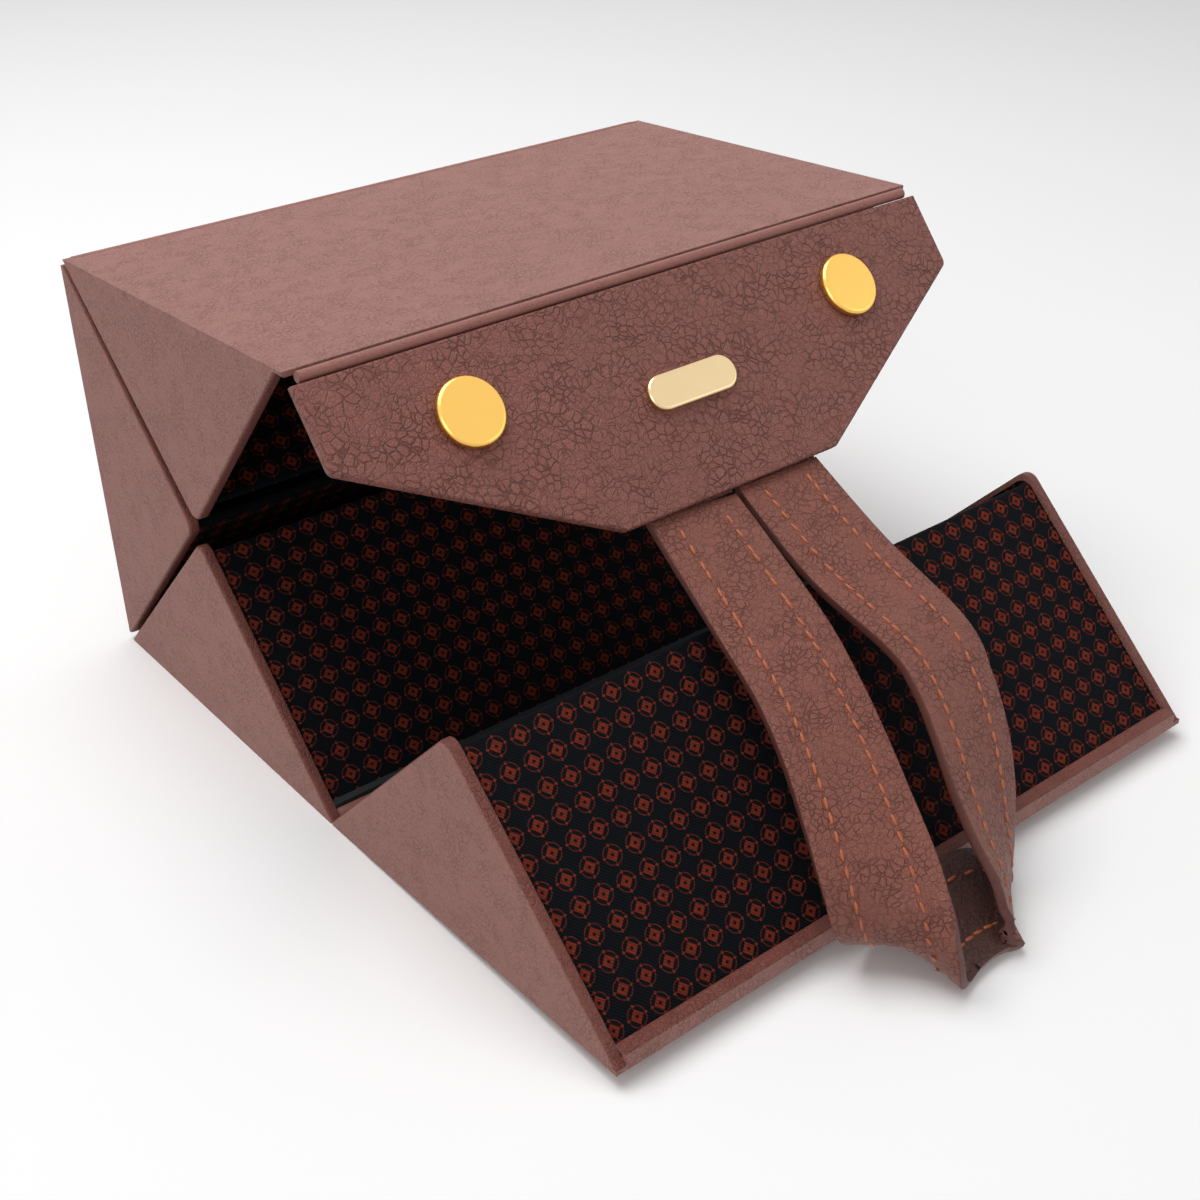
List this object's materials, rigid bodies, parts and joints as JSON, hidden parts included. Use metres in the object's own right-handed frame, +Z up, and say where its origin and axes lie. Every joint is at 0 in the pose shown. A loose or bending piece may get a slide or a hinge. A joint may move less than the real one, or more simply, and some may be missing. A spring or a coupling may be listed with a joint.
{
  "type": "folding glasses case",
  "caption": "Leather travel case for glasses: a chain of three-sided troughs that folds into a box, closed by a hinged flap with snaps, with a strap loop.",
  "frame": {"origin": "middle of the bottom trough's base, on the surface the case stands on", "axes": "+X along the case, to the right seen from the front; +Y to the back; +Z up"},
  "size_m": [0.17, 0.2209, 0.1071],
  "materials": {
    "cover_leather": "pebbled grain, satin",
    "flap_leather": "coarse pebbled grain, satin",
    "strap_leather": "creased grain, satin, contrast stitching",
    "greyboard": "matt board",
    "lining_cloth": "printed twill, small repeating motif",
    "cloth_covered_board": "printed twill, small repeating motif",
    "gold_metal": "polished, pale gold"
  },
  "bodies": {
    "bottom_trough": {"bottom_cover": "cover_leather", "bottom_board": "greyboard", "bottom_left_end_board": "greyboard", "bottom_right_end_board": "greyboard", "bottom_end_linings": "lining_cloth", "bottom_divider": "cloth_covered_board", "bottom_floor_pad": "lining_cloth", "front_hinge_strip": "cover_leather", "rear_hinge_strip": "cover_leather"},
    "front_trough": {"front_cover": "cover_leather", "front_board": "greyboard", "front_left_end_board": "greyboard", "front_right_end_board": "greyboard", "front_end_linings": "lining_cloth", "front_divider": "cloth_covered_board", "front_floor_pad": "lining_cloth", "snap_studs": "gold_metal", "snap_rivets": "gold_metal"},
    "rear_trough": {"rear_cover": "cover_leather", "rear_board": "greyboard", "rear_left_end_board": "greyboard", "rear_right_end_board": "greyboard", "rear_end_linings": "lining_cloth", "rear_divider": "cloth_covered_board", "rear_floor_pad": "lining_cloth", "top_hinge_strip": "cover_leather"},
    "top_trough": {"top_cover": "cover_leather", "top_board": "greyboard", "top_left_end_board": "greyboard", "top_right_end_board": "greyboard", "top_end_linings": "lining_cloth", "top_divider": "cloth_covered_board", "top_floor_pad": "lining_cloth"},
    "flap_band": {"flap_hinge_strip": "cover_leather"},
    "flap": {"flap_leather": "flap_leather", "flap_board": "greyboard", "flap_lining": "flap_leather", "snap_caps": "gold_metal", "snap_sockets": "gold_metal", "flap_plate": "gold_metal", "strap_tabs": "strap_leather"},
    "strap_loop": {"strap": "strap_leather"}
  },
  "joints": [
    {"name": "front_hinge", "type": "hinge", "parent": "bottom_trough", "child": "front_trough", "pos_m": [0, -0.048, 0.0015], "axis": [-1, 0, 0], "range_deg": [-1.96, 88.04]},
    {"name": "rear_hinge", "type": "hinge", "parent": "bottom_trough", "child": "rear_trough", "pos_m": [0, 0.048, 0.0015], "axis": [-1, 0, 0], "range_deg": [-1.5, 88.5]},
    {"name": "top_hinge", "type": "hinge", "parent": "rear_trough", "child": "top_trough", "pos_m": [0, 0.05056, 0.09947], "axis": [-1, 0, 0], "range_deg": [-2, 88]},
    {"name": "flap_lift", "type": "hinge", "parent": "top_trough", "child": "flap_band", "pos_m": [0, -0.04923, 0.10587], "axis": [-1, 0, 0], "range_deg": [-1.1, 46]},
    {"name": "flap_hinge", "type": "hinge", "parent": "flap_band", "child": "flap", "pos_m": [0, -0.04923, 0.10587], "axis": [-1, 0, 0], "range_deg": [-83, 95]},
    {"name": "strap_swing", "type": "hinge", "parent": "flap", "child": "strap_loop", "pos_m": [0, -0.08098, 0.06656], "axis": [-1, 0, 0], "range_deg": [0, 75], "deforming": ["strap"]}
  ],
  "couplings": [
    {"joint": "flap_lift", "follows": "front_hinge", "ratio": 0.52}
  ]
}
